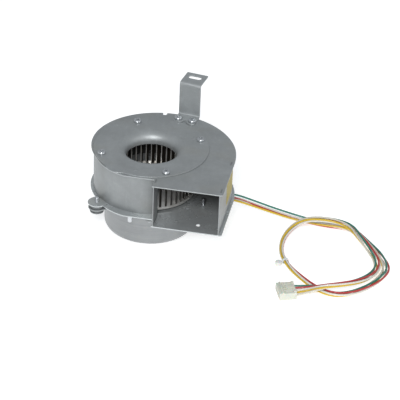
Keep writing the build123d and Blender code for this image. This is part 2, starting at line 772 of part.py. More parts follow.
def connector_housing():
    """The housing in its own axes: x back along the wires, from the back face at x = 0."""
    low = -connector_back[2]
    body = block(connector_length, connector_width, low, low + connector_height, -connector_length / 2)
    body = fillet(body.edges().filter_by(Axis.Z), 0.6)
    for k in range(way_count):
        y = (k - (way_count - 1) / 2) * way_pitch
        cell = block(connector_length - 3.0, 1.7, -1.1, 1.1, -connector_length / 2 - 1.5, y)
        body -= cell
    latch = block(5.0, 5.2, low + connector_height, low + connector_height + 1.4, -5.4, 0)
    return connector_frame * (body + latch)


def connector_terminal(y):
    return connector_frame * block(connector_length - 4.0, 1.1, -0.5, 0.5, -connector_length / 2 - 1.4, y)


def cable_tie():
    """A strap round the bundle with a round head lying beside it."""
    here, after = Vector(*harness_route[20]), Vector(*harness_route[21])
    middle = here + (after - here) * tie_place
    frame = Plane(middle, x_dir=(0, 0, 1), z_dir=after - here)
    inner = bundle_diameter / 2
    strap = Cylinder(inner + tie_sheet, tie_width) - Cylinder(inner, tie_width)
    beside = inner + tie_sheet + tie_head_radius - 0.05
    head = Pos(-tie_head_drop, -beside, 0) * Rot(0, 90, 0) * Cylinder(tie_head_radius, tie_head_height)
    head = fillet(head.edges().filter_by(GeomType.CIRCLE), 0.8)
    neck = Pos(0, -beside / 2 - 1.0, 0) * Box(tie_sheet, 2.6, tie_width)
    return frame.location * (strap + neck + head)


save("cable_grommet", cable_grommet())
save("wire_harness", harness())
save("connector_housing", connector_housing())
way_places = [(k - (way_count - 1) / 2) * way_pitch for k in range(way_count)]
save("connector_terminals", *[connector_terminal(y) for y in way_places])
save("cable_tie", cable_tie())
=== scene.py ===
import random
from math import cos, pi, radians, sin

import bmesh
import bpy
from mathutils import Matrix, Vector


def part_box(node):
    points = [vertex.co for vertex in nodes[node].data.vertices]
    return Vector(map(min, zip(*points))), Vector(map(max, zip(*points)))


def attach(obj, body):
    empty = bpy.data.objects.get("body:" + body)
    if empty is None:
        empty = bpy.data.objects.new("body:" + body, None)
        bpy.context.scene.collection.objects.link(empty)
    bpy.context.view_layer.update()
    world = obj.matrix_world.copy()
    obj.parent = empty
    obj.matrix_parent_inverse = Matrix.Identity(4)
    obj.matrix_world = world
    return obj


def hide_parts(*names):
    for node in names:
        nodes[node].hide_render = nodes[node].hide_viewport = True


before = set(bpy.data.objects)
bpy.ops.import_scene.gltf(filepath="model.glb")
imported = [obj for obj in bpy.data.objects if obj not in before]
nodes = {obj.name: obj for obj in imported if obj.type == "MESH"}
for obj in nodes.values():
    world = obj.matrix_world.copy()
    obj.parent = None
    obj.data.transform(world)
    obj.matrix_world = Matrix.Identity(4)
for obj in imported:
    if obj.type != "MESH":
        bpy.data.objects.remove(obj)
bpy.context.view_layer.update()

# A small centrifugal combustion blower: zinc-plated sheet housing, squirrel-cage wheel, drum motor and
# a five-wire lead. Metres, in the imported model's frame: +Z up the wheel's axis, the outlet faces -Y.
MM = 0.001
scene = bpy.context.scene
chance = random.Random(7)

# ---------------------------------------------------------------- sizes shared with the frame
can_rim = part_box("motor_can")[1].z
m4_head_height = 2.6 * MM
plate_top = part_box("inlet_screws")[1].z - m4_head_height
bracket_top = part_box("bracket_screws")[1].z - m4_head_height
inlet_screw_circle = 45.0 * MM
inlet_screw_phase = 28.4
wire_radius = 0.85 * MM
grommet_angle = radians(18.0)


# ---------------------------------------------------------------- camera
def place_camera():
    azimuth, elevation, roll = radians(9.97), radians(32.13), radians(2.34)
    target = Vector((0.04348, 0.00764, 0.0246))
    back = Vector((sin(azimuth) * cos(elevation), -cos(azimuth) * cos(elevation), sin(elevation)))
    right = Vector((cos(azimuth), sin(azimuth), 0.0))
    up = back.cross(right)
    tilted_right = right * cos(roll) + up * sin(roll)
    tilted_up = up * cos(roll) - right * sin(roll)
    turned = Matrix((tilted_right, tilted_up, back)).transposed().to_4x4()
    data = bpy.data.cameras.new("camera")
    data.sensor_width = 36.0
    data.lens = 180.0
    camera = bpy.data.objects.new("camera", data)
    camera.matrix_world = Matrix.Translation(target + back * 1.7739) @ turned
    scene.collection.objects.link(camera)
    scene.camera = camera


place_camera()


# ---------------------------------------------------------------- shader expressions
class Value:
    """A shader socket that takes part in Python sums, with plain numbers or with other sockets."""

    def __init__(self, finish, socket):
        self.finish = finish
        self.socket = socket

    def maths(self, operation, first, second):
        return self.finish.node("ShaderNodeMath", {"operation": operation}, {0: first, 1: second})

    def __add__(self, other):
        return self.maths("ADD", self, other)

    def __radd__(self, other):
        return self.maths("ADD", other, self)

    def __sub__(self, other):
        return self.maths("SUBTRACT", self, other)

    def __rsub__(self, other):
        return self.maths("SUBTRACT", other, self)

    def __mul__(self, other):
        return self.maths("MULTIPLY", self, other)

    def __rmul__(self, other):
        return self.maths("MULTIPLY", other, self)

    def above(self, other):
        return self.maths("GREATER_THAN", self, other)


class Finish:
    """One material: its shader, its object coordinates, and the nodes that vary them."""

    def __init__(self, name, colour, roughness, metallic=0.0, **constants):
        self.material = bpy.data.materials.new(name)
        self.material.use_nodes = True
        self.tree = self.material.node_tree
        self.shader = self.tree.nodes["Principled BSDF"]
        self.shader.inputs["Base Color"].default_value = (*colour, 1.0)
        self.shader.inputs["Roughness"].default_value = roughness
        self.shader.inputs["Metallic"].default_value = metallic
        for words, number in constants.items():
            self.shader.inputs[words.replace("_", " ")].default_value = number
        self.colour = colour
        self.place = self.node("ShaderNodeTexCoord", output="Object")

    def node(self, kind, settings=None, sockets=None, output=0):
        made = self.tree.nodes.new(kind)
        for words, setting in (settings or {}).items():
            if words == "stops":
                self.set_stops(made.color_ramp, setting)
            else:
                setattr(made, words, setting)
        for socket, value in (sockets or {}).items():
            self.feed(made.inputs[socket], value)
        return Value(self, made.outputs[output])

    def set_stops(self, ramp, stops):
        while len(ramp.elements) < len(stops):
            ramp.elements.new(0.5)
        for element, (position, colour) in zip(ramp.elements, stops):
            element.position = position
            element.color = (*colour, 1.0)

    def feed(self, socket, value):
        if isinstance(value, Value):
            self.tree.links.new(value.socket, socket)
        elif socket.type == "RGBA" and len(value) == 3:
            socket.default_value = (*value, 1.0)
        else:
            socket.default_value = value

    def stretched(self, scale):
        """Object coordinates scaled by (x, y, z), so that a pattern runs finer along some axes."""
        return self.node("ShaderNodeMapping", None, {"Vector": self.place, "Scale": scale})

    def noise(self, size, detail=4.0, rough=0.55, along=None):
        """Soft noise with lumps about `size` metres across, or stretched by `along`."""
        vector = self.stretched(along) if along else self.place
        sockets = {"Vector": vector, "Scale": 1.0 / size, "Detail": detail, "Roughness": rough}
        return self.node("ShaderNodeTexNoise", None, sockets)

    def spread(self, value, low, high, to_low=0.0, to_high=1.0):
        """A value's range from low to high, mapped smoothly onto another range."""
        sockets = {"Value": value, "From Min": low, "From Max": high, "To Min": to_low, "To Max": to_high}
        return self.node("ShaderNodeMapRange", {"interpolation_type": "SMOOTHSTEP"}, sockets)

    def mix(self, factor, first, second):
        return self.node("ShaderNodeMix", {"data_type": "RGBA"}, {0: factor, 6: first, 7: second}, output=2)

    def paint(self, colour=None, roughness=None, height=None, depth=0.0001, strength=1.0, metallic=None):
        """Feed the shader, with a bump of `depth` metres where height is given."""
        if colour is not None:
            self.feed(self.shader.inputs["Base Color"], colour)
        if roughness is not None:
            self.feed(self.shader.inputs["Roughness"], roughness)
        if metallic is not None:
            self.feed(self.shader.inputs["Metallic"], metallic)
        if height is not None:
            sockets = {"Height": height, "Distance": depth, "Strength": strength}
            bump = self.node("ShaderNodeBump", None, sockets)
            self.feed(self.shader.inputs["Normal"], bump)
        return self.material


def shade(colour, factor):
    """A colour made lighter or darker."""
    return tuple(min(1.0, channel * factor) for channel in colour)


# ---------------------------------------------------------------- finishes
def zinc_sheet(name, tone, grain, streaks=0.5, rough=0.42, metallic=0.55):
    """Zinc-plated sheet: rolling grain along one axis, cloudy passivation, handling marks, scratches."""
    f = Finish(name, tone, rough, metallic, Anisotropic=0.25, Coat_Roughness=0.3)
    clouds = f.noise(0.022, 5.0, 0.6)
    mottle = f.noise(0.0045, 4.0, 0.65)
    rolled = f.noise(0.0011, 3.0, 0.6, along=grain)
    fine = f.noise(0.00035, 2.0, 0.5)
    smudges = f.spread(f.noise(0.03, 3.0, 0.4, along=(1.0, 1.6, 1.0)), 0.52, 0.72)
    marks = f.node("ShaderNodeTexVoronoi", {"feature": "DISTANCE_TO_EDGE"}, {
        "Vector": f.stretched((1.0, 0.22, 0.5)), "Scale": 95.0, "Randomness": 1.0})
    scratches = f.spread(marks, 0.0, 0.012, 1.0, 0.0) * f.spread(mottle, 0.5, 0.62)
    tone_mask = clouds * 0.55 + mottle * 0.25 + rolled * (0.2 * streaks)
    ramp = f.node("ShaderNodeValToRGB", {"stops": [
        (0.30, shade(tone, 0.84)), (0.47, shade(tone, 0.97)), (0.62, shade(tone, 1.10))]}, {"Fac": tone_mask})
    warm = (tone[0] * 0.98, tone[1] * 0.93, tone[2] * 0.84)
    colour = f.mix(smudges * 0.30, ramp, warm)
    colour = f.mix(scratches * 0.35, colour, shade(tone, 1.35))
    roughness = rough - 0.08 + clouds * 0.16 + smudges * 0.08 - scratches * 0.10
    height = rolled * 0.55 + fine * 0.30 + mottle * 0.5
    return f.paint(colour, roughness, height, depth=0.000025, strength=0.55)


def turned_can():
    """A deep-drawn can: fine drawing lines round it, with a soft cloudy plating."""
    tone = (0.285, 0.295, 0.30)
    f = Finish("drawn_can", tone, 0.36, 0.78)
    rings = f.noise(0.0016, 4.0, 0.7, along=(0.02, 0.02, 1.0))
    fine_rings = f.noise(0.0005, 2.0, 0.5, along=(0.02, 0.02, 1.0))
    clouds = f.noise(0.02, 4.0, 0.6)
    dust = f.spread(f.noise(0.006, 4.0, 0.6), 0.55, 0.75)
    stops = [(0.32, shade(tone, 0.82)), (0.5, tone), (0.68, shade(tone, 1.12))]
    ramp = f.node("ShaderNodeValToRGB", {"stops": stops}, {"Fac": rings * 0.6 + clouds * 0.4})
    colour = f.mix(dust * 0.22, ramp, (0.42, 0.40, 0.36))
    return f.paint(colour, 0.26 + rings * 0.16 + dust * 0.1, rings + fine_rings * 0.5, 0.00004, 0.6)


def wheel_strip(name, painted_blade_shade=False):
    """Galvanised wheel strip with a film of brownish dust; on the blades, the middle of each blade is painted
    dark as shade, so that its edges stand out as painted highlights.
    """
    tone = (0.78, 0.77, 0.74)
    f = Finish(name, tone, 0.34, 0.60)
    dust = f.spread(f.noise(0.009, 4.0, 0.6), 0.42, 0.68)
    specks = f.noise(0.002, 2.0, 0.5)
    colour = f.mix(dust * 0.25, f.mix(specks, shade(tone, 0.92), shade(tone, 1.06)), (0.26, 0.22, 0.17))
    if painted_blade_shade:
        # painted shade and highlight: by radius, the middle of each blade goes near-black while its inner and
        # outer edges keep the bright strip colour
        flat_place = f.stretched((1.0, 1.0, 0.0))
        radius = f.node("ShaderNodeVectorMath", {"operation": "LENGTH"}, {0: flat_place}, output=1)
        inner_edge = f.spread(radius, 34.0 * MM, 35.4 * MM, 1.0, 0.0)
        outer_edge = f.spread(radius, 38.7 * MM, 39.8 * MM, 0.0, 0.9)
        colour = f.mix(inner_edge + outer_edge, (0.035, 0.030, 0.024), colour)
    return f.paint(colour, 0.28 + dust * 0.16, specks, 0.00001, 0.4)


def bright_zinc(name, tone, rough=0.24, metallic=0.95):
    """Bright zinc plate on turned and pressed small parts."""
    f = Finish(name, tone, rough, metallic)
    clouds = f.noise(0.003, 4.0, 0.6)
    fine = f.noise(0.0004, 3.0, 0.5)
    # painted shade: random dark blotches that stand in for the shaded rims of the screw heads; they also raise
    # the roughness
    painted_shade_blotches = f.spread(f.noise(0.0012, 3.0, 0.6), 0.56, 0.74)
    colour = f.mix(clouds, shade(tone, 0.86), shade(tone, 1.1))
    colour = f.mix(painted_shade_blotches * 0.5, colour, shade(tone, 0.4))
    return f.paint(colour, rough - 0.05 + clouds * 0.14 + painted_shade_blotches * 0.2, fine, 0.00002, 0.5)


def moulded(name, tone, rough, bump=0.00002, grain=0.0004, coat=0.0, stain=None, weight=0.0):
    """Moulded plastic or rubber with a fine skin and slightly uneven colour."""
    f = Finish(name, tone, rough, 0.0, Coat_Weight=coat, Coat_Roughness=0.15, Subsurface_Weight=weight,
               Subsurface_Scale=0.001)
    clouds = f.noise(0.004, 4.0, 0.6)
    skin = f.noise(grain, 2.0, 0.5)
    dirt = f.spread(f.noise(0.0022, 4.0, 0.6), 0.54, 0.76)
    colour = f.mix(clouds, shade(tone, 0.90), shade(tone, 1.08))
    colour = f.mix(dirt * 0.35, colour, stain or shade(tone, 0.6))
    return f.paint(colour, rough - 0.06 + clouds * 0.1 + dirt * 0.1, skin, bump, 0.5)


def label_paper():
    """A plain tan label: fibrous paper, ruled with faint empty lines, rubbed at its edges."""
    tone = (0.31, 0.245, 0.028)
    f = Finish("label_paper", tone, 0.55, 0.0)
    low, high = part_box("side_label")
    fibres = f.noise(0.0007, 4.0, 0.7, along=(1.0, 0.35, 1.0))
    clouds = f.noise(0.008, 4.0, 0.6)
    place = f.node("ShaderNodeSeparateXYZ", None, {"Vector": f.place}, output=2)
    rows = f.node("ShaderNodeMath", {"operation": "PINGPONG"}, {0: place, 1: 0.0022})
    rules = f.spread(rows, 0.0, 0.00022, 1.0, 0.0)
    inside = place.above(low.z + 0.003) * (1.0 - place.above(high.z - 0.003))
    colour = f.mix(clouds, shade(tone, 0.88), shade(tone, 1.1))
    colour = f.mix(fibres * 0.25, colour, shade(tone, 1.3))
    colour = f.mix(rules * inside * 0.28, colour, shade(tone, 0.45))
    worn = f.spread(f.noise(0.0035, 5.0, 0.7), 0.60, 0.72)
    colour = f.mix(worn * 0.35, colour, (0.55, 0.55, 0.48))
    return f.paint(colour, 0.46 + clouds * 0.14, fibres, 0.00002, 0.4)


def copper_winding():
    """Enamelled copper wound round the teeth, as fine parallel turns."""
    tone = (0.50, 0.17, 0.05)
    f = Finish("copper_winding", tone, 0.28, 0.9, Coat_Weight=0.4)
    turns = f.node("ShaderNodeTexWave", {"wave_type": "RINGS", "rings_direction": "Z"}, {
        "Vector": f.place, "Scale": 620.0, "Distortion": 0.6, "Detail": 1.0})
    clouds = f.noise(0.002, 3.0, 0.6)
    colour = f.mix(turns * 0.6 + clouds * 0.4, shade(tone, 0.55), shade(tone, 1.3))
    return f.paint(colour, 0.22 + clouds * 0.15, turns, 0.0001, 0.8)


def laminated(name, tone, pitch=0.0005):
    """A stack of thin laminations, seen edge on as fine lines round the stack."""
    f = Finish(name, tone, 0.45, 0.8)
    lines = f.node("ShaderNodeTexWave", {"wave_type": "BANDS", "bands_direction": "Z"}, {
        "Vector": f.place, "Scale": 0.3 / pitch, "Distortion": 0.2})
    clouds = f.noise(0.003, 4.0, 0.6)
    colour = f.mix(clouds * 0.6 + lines * 0.4, shade(tone, 0.7), shade(tone, 1.2))
    return f.paint(colour, 0.38 + clouds * 0.16, lines, 0.00004, 0.6)


def solder_mask():
    """A green board: glossy mask over faint copper tracks, with tinned pads."""
    tone = (0.02, 0.14, 0.06)
    f = Finish("solder_mask", tone, 0.3, 0.0, Coat_Weight=0.5)
    tracks = f.node("ShaderNodeTexVoronoi", {"feature": "F1", "distance": "CHEBYCHEV"}, {
        "Vector": f.place, "Scale": 260.0, "Randomness": 0.8})
    raised = f.spread(tracks, 0.42, 0.48)
    pads = f.spread(tracks, 0.10, 0.07)
    colour = f.mix(raised * 0.6, tone, shade(tone, 2.0))
    colour = f.mix(pads, colour, (0.6, 0.6, 0.58))
    return f.paint(colour, 0.22 + raised * 0.1, raised + pads, 0.00004, 0.6, metallic=pads * 0.8)


def wire_jacket(name, tone, band=None):
    """PVC wire insulation: smooth, a little dusty, sometimes with a printed tracer's tint."""
    f = Finish(name, tone, 0.34, 0.0, Coat_Weight=0.25, Coat_Roughness=0.25)
    clouds = f.noise(0.006, 4.0, 0.6)
    dust = f.spread(f.noise(0.0028, 4.0, 0.65), 0.52, 0.78)
    skin = f.noise(0.0006, 2.0, 0.5)
    colour = f.mix(clouds, shade(tone, 0.88), shade(tone, 1.1))
    colour = f.mix(dust * 0.25, colour, band or shade(tone, 0.7))
    return f.paint(colour, 0.28 + clouds * 0.12 + dust * 0.12, skin, 0.00002, 0.35)


plate_tone = (0.375, 0.395, 0.40)
top_sheet = zinc_sheet("zinc_top_sheet", shade(plate_tone, 1.00), (0.06, 1.0, 1.0), 0.7, 0.46)
inlet_sheet = zinc_sheet("zinc_inlet_sheet", shade(plate_tone, 1.04), (1.0, 0.06, 1.0), 0.5, 0.46)
# a lit copy of the plate zinc, 1.42 times brighter: painted sheen standing in for the duct floor's reflection
base_sheet_painted_sheen = zinc_sheet("zinc_base_painted_sheen", shade(plate_tone, 1.42), (0.06, 1.0, 1.0), 0.6, 0.26, 0.50)
# a shaded copy of the plate zinc, 0.76 as bright: painted shade on the scroll wall
wall_sheet_painted_shade = zinc_sheet("zinc_wall_painted_shade", shade(plate_tone, 0.76), (1.0, 1.0, 0.06), 0.6, 0.44)
bracket_sheet = zinc_sheet("zinc_bracket_sheet", shade(plate_tone, 1.10), (0.06, 0.06, 1.0), 0.8, 0.46)
# a shaded copy of the plate zinc, 0.75 as bright: painted shade for the motor flange, hub rivets and other
# parts under the housing
hidden_parts_painted_shade = zinc_sheet("zinc_painted_shade_sheet", shade(plate_tone, 0.75), (1.0, 0.06, 1.0), 0.5)
# a near-black copy of the zinc sheet: painted shade for the inside of the duct
interior_painted_shade = zinc_sheet("duct_painted_shade_sheet", (0.030, 0.029, 0.027), (1.0, 1.0, 0.3), 0.5, 0.75, 0.1)
can_finish = turned_can()
strip_finish = wheel_strip("wheel_strip")
blade_finish = wheel_strip("wheel_blade_strip", painted_blade_shade=True)
screw_finish = bright_zinc("bright_zinc_screw", (0.62, 0.64, 0.66))
steel_finish = bright_zinc("ground_steel", (0.66, 0.66, 0.68), 0.14, 1.0)
hub_finish = bright_zinc("turned_aluminium", (0.62, 0.62, 0.62), 0.32, 0.9)
tin_finish = bright_zinc("tinned_brass", (0.66, 0.62, 0.52), 0.3, 0.9)
rubber_finish = moulded("grey_rubber", (0.17, 0.18, 0.185), 0.62, 0.00005, 0.0006, stain=(0.12, 0.12, 0.11))
nylon_finish = moulded("natural_nylon", (0.66, 0.64, 0.55), 0.42, weight=0.15)
connector_finish = moulded("connector_nylon", (0.66, 0.67, 0.58), 0.40, weight=0.12, stain=(0.42, 0.43, 0.38))
tie_finish = moulded("tie_nylon", (0.72, 0.73, 0.70), 0.36, weight=0.2)
chip_finish = moulded("moulded_package", (0.022, 0.022, 0.024), 0.5, 0.00004, 0.0003)
ferrite_finish = moulded("sintered_ferrite", (0.05, 0.05, 0.052), 0.55, 0.00005, 0.0003)
paper_finish = label_paper()
copper_finish = copper_winding()
iron_finish = laminated("stator_laminations", (0.22, 0.23, 0.25))
board_finish = solder_mask()


# ---------------------------------------------------------------- building with bmesh
def new_piece(name, form, finish, body, replaced=(), angle=35.0):
    """Turn a bmesh into a piece that rides on a body and stands for CAD nodes."""
    mesh = bpy.data.meshes.new(name)
    form.to_mesh(mesh)
    form.free()
    for polygon in mesh.polygons:
        polygon.use_smooth = True
    mesh.set_sharp_from_angle(angle=radians(angle))
    mesh.materials.clear()
    mesh.materials.append(finish)
    piece = bpy.data.objects.new(name, mesh)
    scene.collection.objects.link(piece)
    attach(piece, body)
    if replaced:
        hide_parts(*replaced)
    return piece


def join(form, part, matrix=None):
    """Move a part into another bmesh, and free it."""
    if matrix is not None:
        bmesh.ops.transform(part, matrix=matrix, verts=part.verts)
    carried = bpy.data.meshes.new("carried")
    part.to_mesh(carried)
    part.free()
    form.from_mesh(carried)
    bpy.data.meshes.remove(carried)


def softened(outline, radius, steps=3):
    """A polyline of (radius, height) points with each inner corner rounded by a small curve."""
    soft = [outline[0]]
    for before, here, after in zip(outline, outline[1:], outline[2:]):
        here = Vector(here)
        arriving, leaving = Vector(before) - here, Vector(after) - here
        reach = min(radius, arriving.length * 0.45, leaving.length * 0.45)
        start = here + arriving.normalized() * reach
        end = here + leaving.normalized() * reach
        for k in range(steps + 1):
            t = k / steps
            soft.append(tuple(start * (1 - t) ** 2 + here * 2 * t * (1 - t) + end * t ** 2))
    soft.append(outline[-1])
    return soft


def lathe(outline, steps=40, closed=False):
    """Spin an outline of (radius, height) points about Z."""
    form = bmesh.new()
    corners = [form.verts.new((r, 0.0, z)) for r, z in outline]
    pairs = list(zip(corners, corners[1:]))
    if closed:
        pairs.append((corners[-1], corners[0]))
    edges = [form.edges.new(pair) for pair in pairs]
    bmesh.ops.spin(form, geom=corners + edges, cent=(0, 0, 0), axis=(0, 0, 1), angle=2 * pi, steps=steps,
                   use_merge=True, use_duplicate=False)
    bmesh.ops.remove_doubles(form, verts=form.verts, dist=1e-7)
    bmesh.ops.recalc_face_normals(form, faces=form.faces)
    return form


def cuboid(size, place=(0, 0, 0), bevel=0.0, segments=3):
    """A box with rounded edges."""
    form = bmesh.new()
    bmesh.ops.create_cube(form, size=1.0)
    bmesh.ops.scale(form, vec=size, verts=form.verts)
    if bevel:
        bmesh.ops.bevel(form, geom=list(form.edges), offset=bevel, offset_type="OFFSET", segments=segments,
                        profile=0.5, affect="EDGES", clamp_overlap=True, material=-1)
    bmesh.ops.translate(form, vec=place, verts=form.verts)
    return form


def loose_object(form):
    mesh = bpy.data.meshes.new("blank")
    form.to_mesh(mesh)
    form.free()
    made = bpy.data.objects.new("blank", mesh)
    scene.collection.objects.link(made)
    return made


def carved(form, tools):
    """One closed bmesh with others cut out of it, one after another."""
    for tool in tools:
        blank, cutter = loose_object(form), loose_object(tool)
        cut = blank.modifiers.new("cut", "BOOLEAN")
        cut.operation = "DIFFERENCE"
        cut.solver = "EXACT"
        cut.object = cutter
        seen = blank.evaluated_get(bpy.context.evaluated_depsgraph_get())
        mesh = bpy.data.meshes.new_from_object(seen)
        form = bmesh.new()
        form.from_mesh(mesh)
        bmesh.ops.remove_doubles(form, verts=form.verts, dist=1e-7)
        for made in (blank, cutter):
            data = made.data
            bpy.data.objects.remove(made)
            bpy.data.meshes.remove(data)
        bpy.data.meshes.remove(mesh)
    return form


def rounded_copy(node, name, finish, edge, body="housing", angle=32.0):
    """A CAD sheet part as one merged skin, with its cut edges rounded as a press leaves them."""
    form = bmesh.new()
    form.from_mesh(nodes[node].data)
    bmesh.ops.remove_doubles(form, verts=form.verts, dist=2e-6)
    bmesh.ops.dissolve_degenerate(form, dist=2e-6, edges=form.edges)
    bmesh.ops.dissolve_limit(form, angle_limit=radians(0.5), verts=form.verts, edges=form.edges)
    piece = new_piece(name, form, finish, body, (node,), angle)
    if "custom_normal" in piece.data.attributes:
        piece.data.attributes.remove(piece.data.attributes["custom_normal"])
    rounding = piece.modifiers.new("edge_rounding", "BEVEL")
    rounding.width = edge
    rounding.segments = 2
    rounding.limit_method = "ANGLE"
    rounding.angle_limit = radians(angle)
    rounding.use_clamp_overlap = True
    rounding.miter_outer = "MITER_ARC"
    weighting = piece.modifiers.new("even_shading", "WEIGHTED_NORMAL")
    weighting.keep_sharp = True
    return piece


def finish_faces_by_test(piece, second_finish, inner):
    """Give the faces that pass a test on (centre, normal) a second finish."""
    piece.data.materials.append(second_finish)
    for face in piece.data.polygons:
        face.material_index = 1 if inner(face.center, face.normal) else 0


def refinish(node, finish):
    """Give a CAD node its material."""
    for place in nodes[node].material_slots:
        place.material = finish


# ---------------------------------------------------------------- the lead: five loose wires
# The route of the bundle's centreline, from the grommet's outer face to the connector's back face.
harness_route = [
    (0.0409, 0.0133, 0.022),
    (0.0504, 0.0164, 0.0226),
    (0.061, 0.021, 0.0224),
    (0.073, 0.025, 0.0204),
    (0.089, 0.0265, 0.0155),
    (0.106, 0.0295, 0.0095),
    (0.1215, 0.032, 0.0046),
    (0.1365, 0.032, 0.0023),
    (0.153, 0.0295, 0.0023),
    (0.1685, 0.03, 0.0023),
    (0.182, 0.026, 0.0023),
    (0.195, 0.0095, 0.0023),
    (0.2085, -0.008, 0.0023),
    (0.2165, -0.0265, 0.0023),
    (0.2125, -0.0445, 0.0023),
    (0.2025, -0.06, 0.0023),
    (0.189, -0.073, 0.0023),
    (0.1745, -0.077, 0.0023),
    (0.159, -0.0705, 0.0023),
    (0.1435, -0.057, 0.0025),
    (0.132, -0.0445, 0.0033),
    (0.1225, -0.026, 0.0034),
    (0.121, -0.0045, 0.004),
    (0.127, 0.0115, 0.0075),
    (0.137, 0.019, 0.0114),
    (0.1495, 0.024, 0.0114),
    (0.164, 0.026, 0.0104),
    (0.178, 0.0205, 0.0104),
    (0.1875, 0.0055, 0.0104),
    (0.1985, -0.0085, 0.0075),
    (0.208, -0.023, 0.0046),
    (0.207, -0.04, 0.0046),
    (0.198, -0.058, 0.0076),
    (0.183, -0.0735, 0.0114),
    (0.1685, -0.08, 0.0114),
    (0.1553, -0.0763, 0.0043),
    (0.1439, -0.08065, 0.0036),
]
connector_turn = radians(21.0)
way_pitch = 3.4 * MM
ring_radius = 1.42 * MM
twist_per_point = radians(24.0)
first_turn = radians(-96.0)
# by route point: how far the wires hang apart past the housing, and how flat the bundle spreads
loose_stretch = {1: 0.3, 2: 0.75, 3: 1.0, 4: 1.0, 5: 1.0, 6: 0.95, 7: 0.8, 8: 0.5, 9: 0.2}
flat_stretch = {9: 1.2, 10: 1.4, 11: 1.6, 12: 1.9, 13: 2.0, 14: 1.9, 15: 1.6, 16: 1.5, 17: 1.4, 18: 1.3,
                19: 1.15, 23: 1.2, 24: 1.5, 25: 1.6, 26: 1.7, 27: 1.9, 28: 2.0, 29: 2.0, 30: 1.8,
                31: 1.7, 32: 1.6, 33: 1.4, 34: 1.2}
# name, colour, sideways drift in mm at the start and end of the loose stretch, way in the connector
wires = [
    ("wire_yellow", (0.64, 0.43, 0.02), -4.8, -4.2, -1),
    ("wire_white", (0.70, 0.68, 0.62), 0.6, 1.3, 0),
    ("wire_red", (0.46, 0.035, 0.035), 2.9, -2.0, 1),
    ("wire_green", (0.03, 0.19, 0.14), 10.4, 5.0, 2),
    ("wire_cream", (0.62, 0.59, 0.50), -1.4, -0.3, -2),
]


def wire_points(order, drift, late_drift, way):
    """Control points of one wire, beside the bundle's own points and slowly twisting round them."""
    last = len(harness_route) - 1
    phase = first_turn + 2 * pi * order / len(wires)
    points = []
    for k, place in enumerate(harness_route):
        before, after = Vector(harness_route[max(k - 1, 0)]), Vector(harness_route[min(k + 1, last)])
        along = (after - before).normalized()
        side = Vector((-along.y, along.x, 0.0)).normalized()
        up = along.cross(side)
        turn = phase + twist_per_point * k
        wander = ring_radius * (1.0 + 0.16 * chance.uniform(-1.0, 1.0) * (1 < k < last - 1))
        loose = loose_stretch.get(k, 0.0)
        flat = flat_stretch.get(k, 1.0)
        spot = Vector(place) + (side * cos(turn) * flat + up * sin(turn) * (1.0 - 0.8 * loose)) * wander
        spot += side * (drift + (late_drift - drift) * min(k, 8) / 8) * MM * loose
        if k >= last - 1:
            across = Vector((-sin(connector_turn), cos(connector_turn), 0.0))
            spot = Vector(place) + across * way * way_pitch * (1.0 if k == last else 0.7)
        spot.z = max(spot.z, wire_radius)
        points.append(spot)
    outward = Vector((cos(grommet_angle), sin(grommet_angle), 0.0))
    inward = Vector(harness_route[0]) - outward * 3.5 * MM
    points.insert(0, inward + (points[0] - Vector(harness_route[0])))
    return points


def lay_wire(order, name, tone, drift, late_drift, way):
    data = bpy.data.curves.new(name, "CURVE")
    data.dimensions = "3D"
    points = wire_points(order, drift, late_drift, way)
    spline = data.splines.new("NURBS")
    spline.points.add(len(points) - 1)
    for control, place in zip(spline.points, points):
        control.co = (*place, 1.0)
    spline.order_u = 3
    spline.use_endpoint_u = True
    spline.resolution_u = 10
    data.bevel_depth = wire_radius
    data.bevel_resolution = 4
    data.use_fill_caps = True
    data.materials.append(wire_jacket(name + "_jacket", tone))
    wire = bpy.data.objects.new(name, data)
    scene.collection.objects.link(wire)
    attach(wire, "housing")
    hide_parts("wire_harness")
    return wire


laid_wires = [lay_wire(order, *facts) for order, facts in enumerate(wires)]


# ---------------------------------------------------------------- connector and tie
connector_back = Vector(harness_route[-1])
connector_size = Vector((15.2, 17.5, 7.0)) * MM


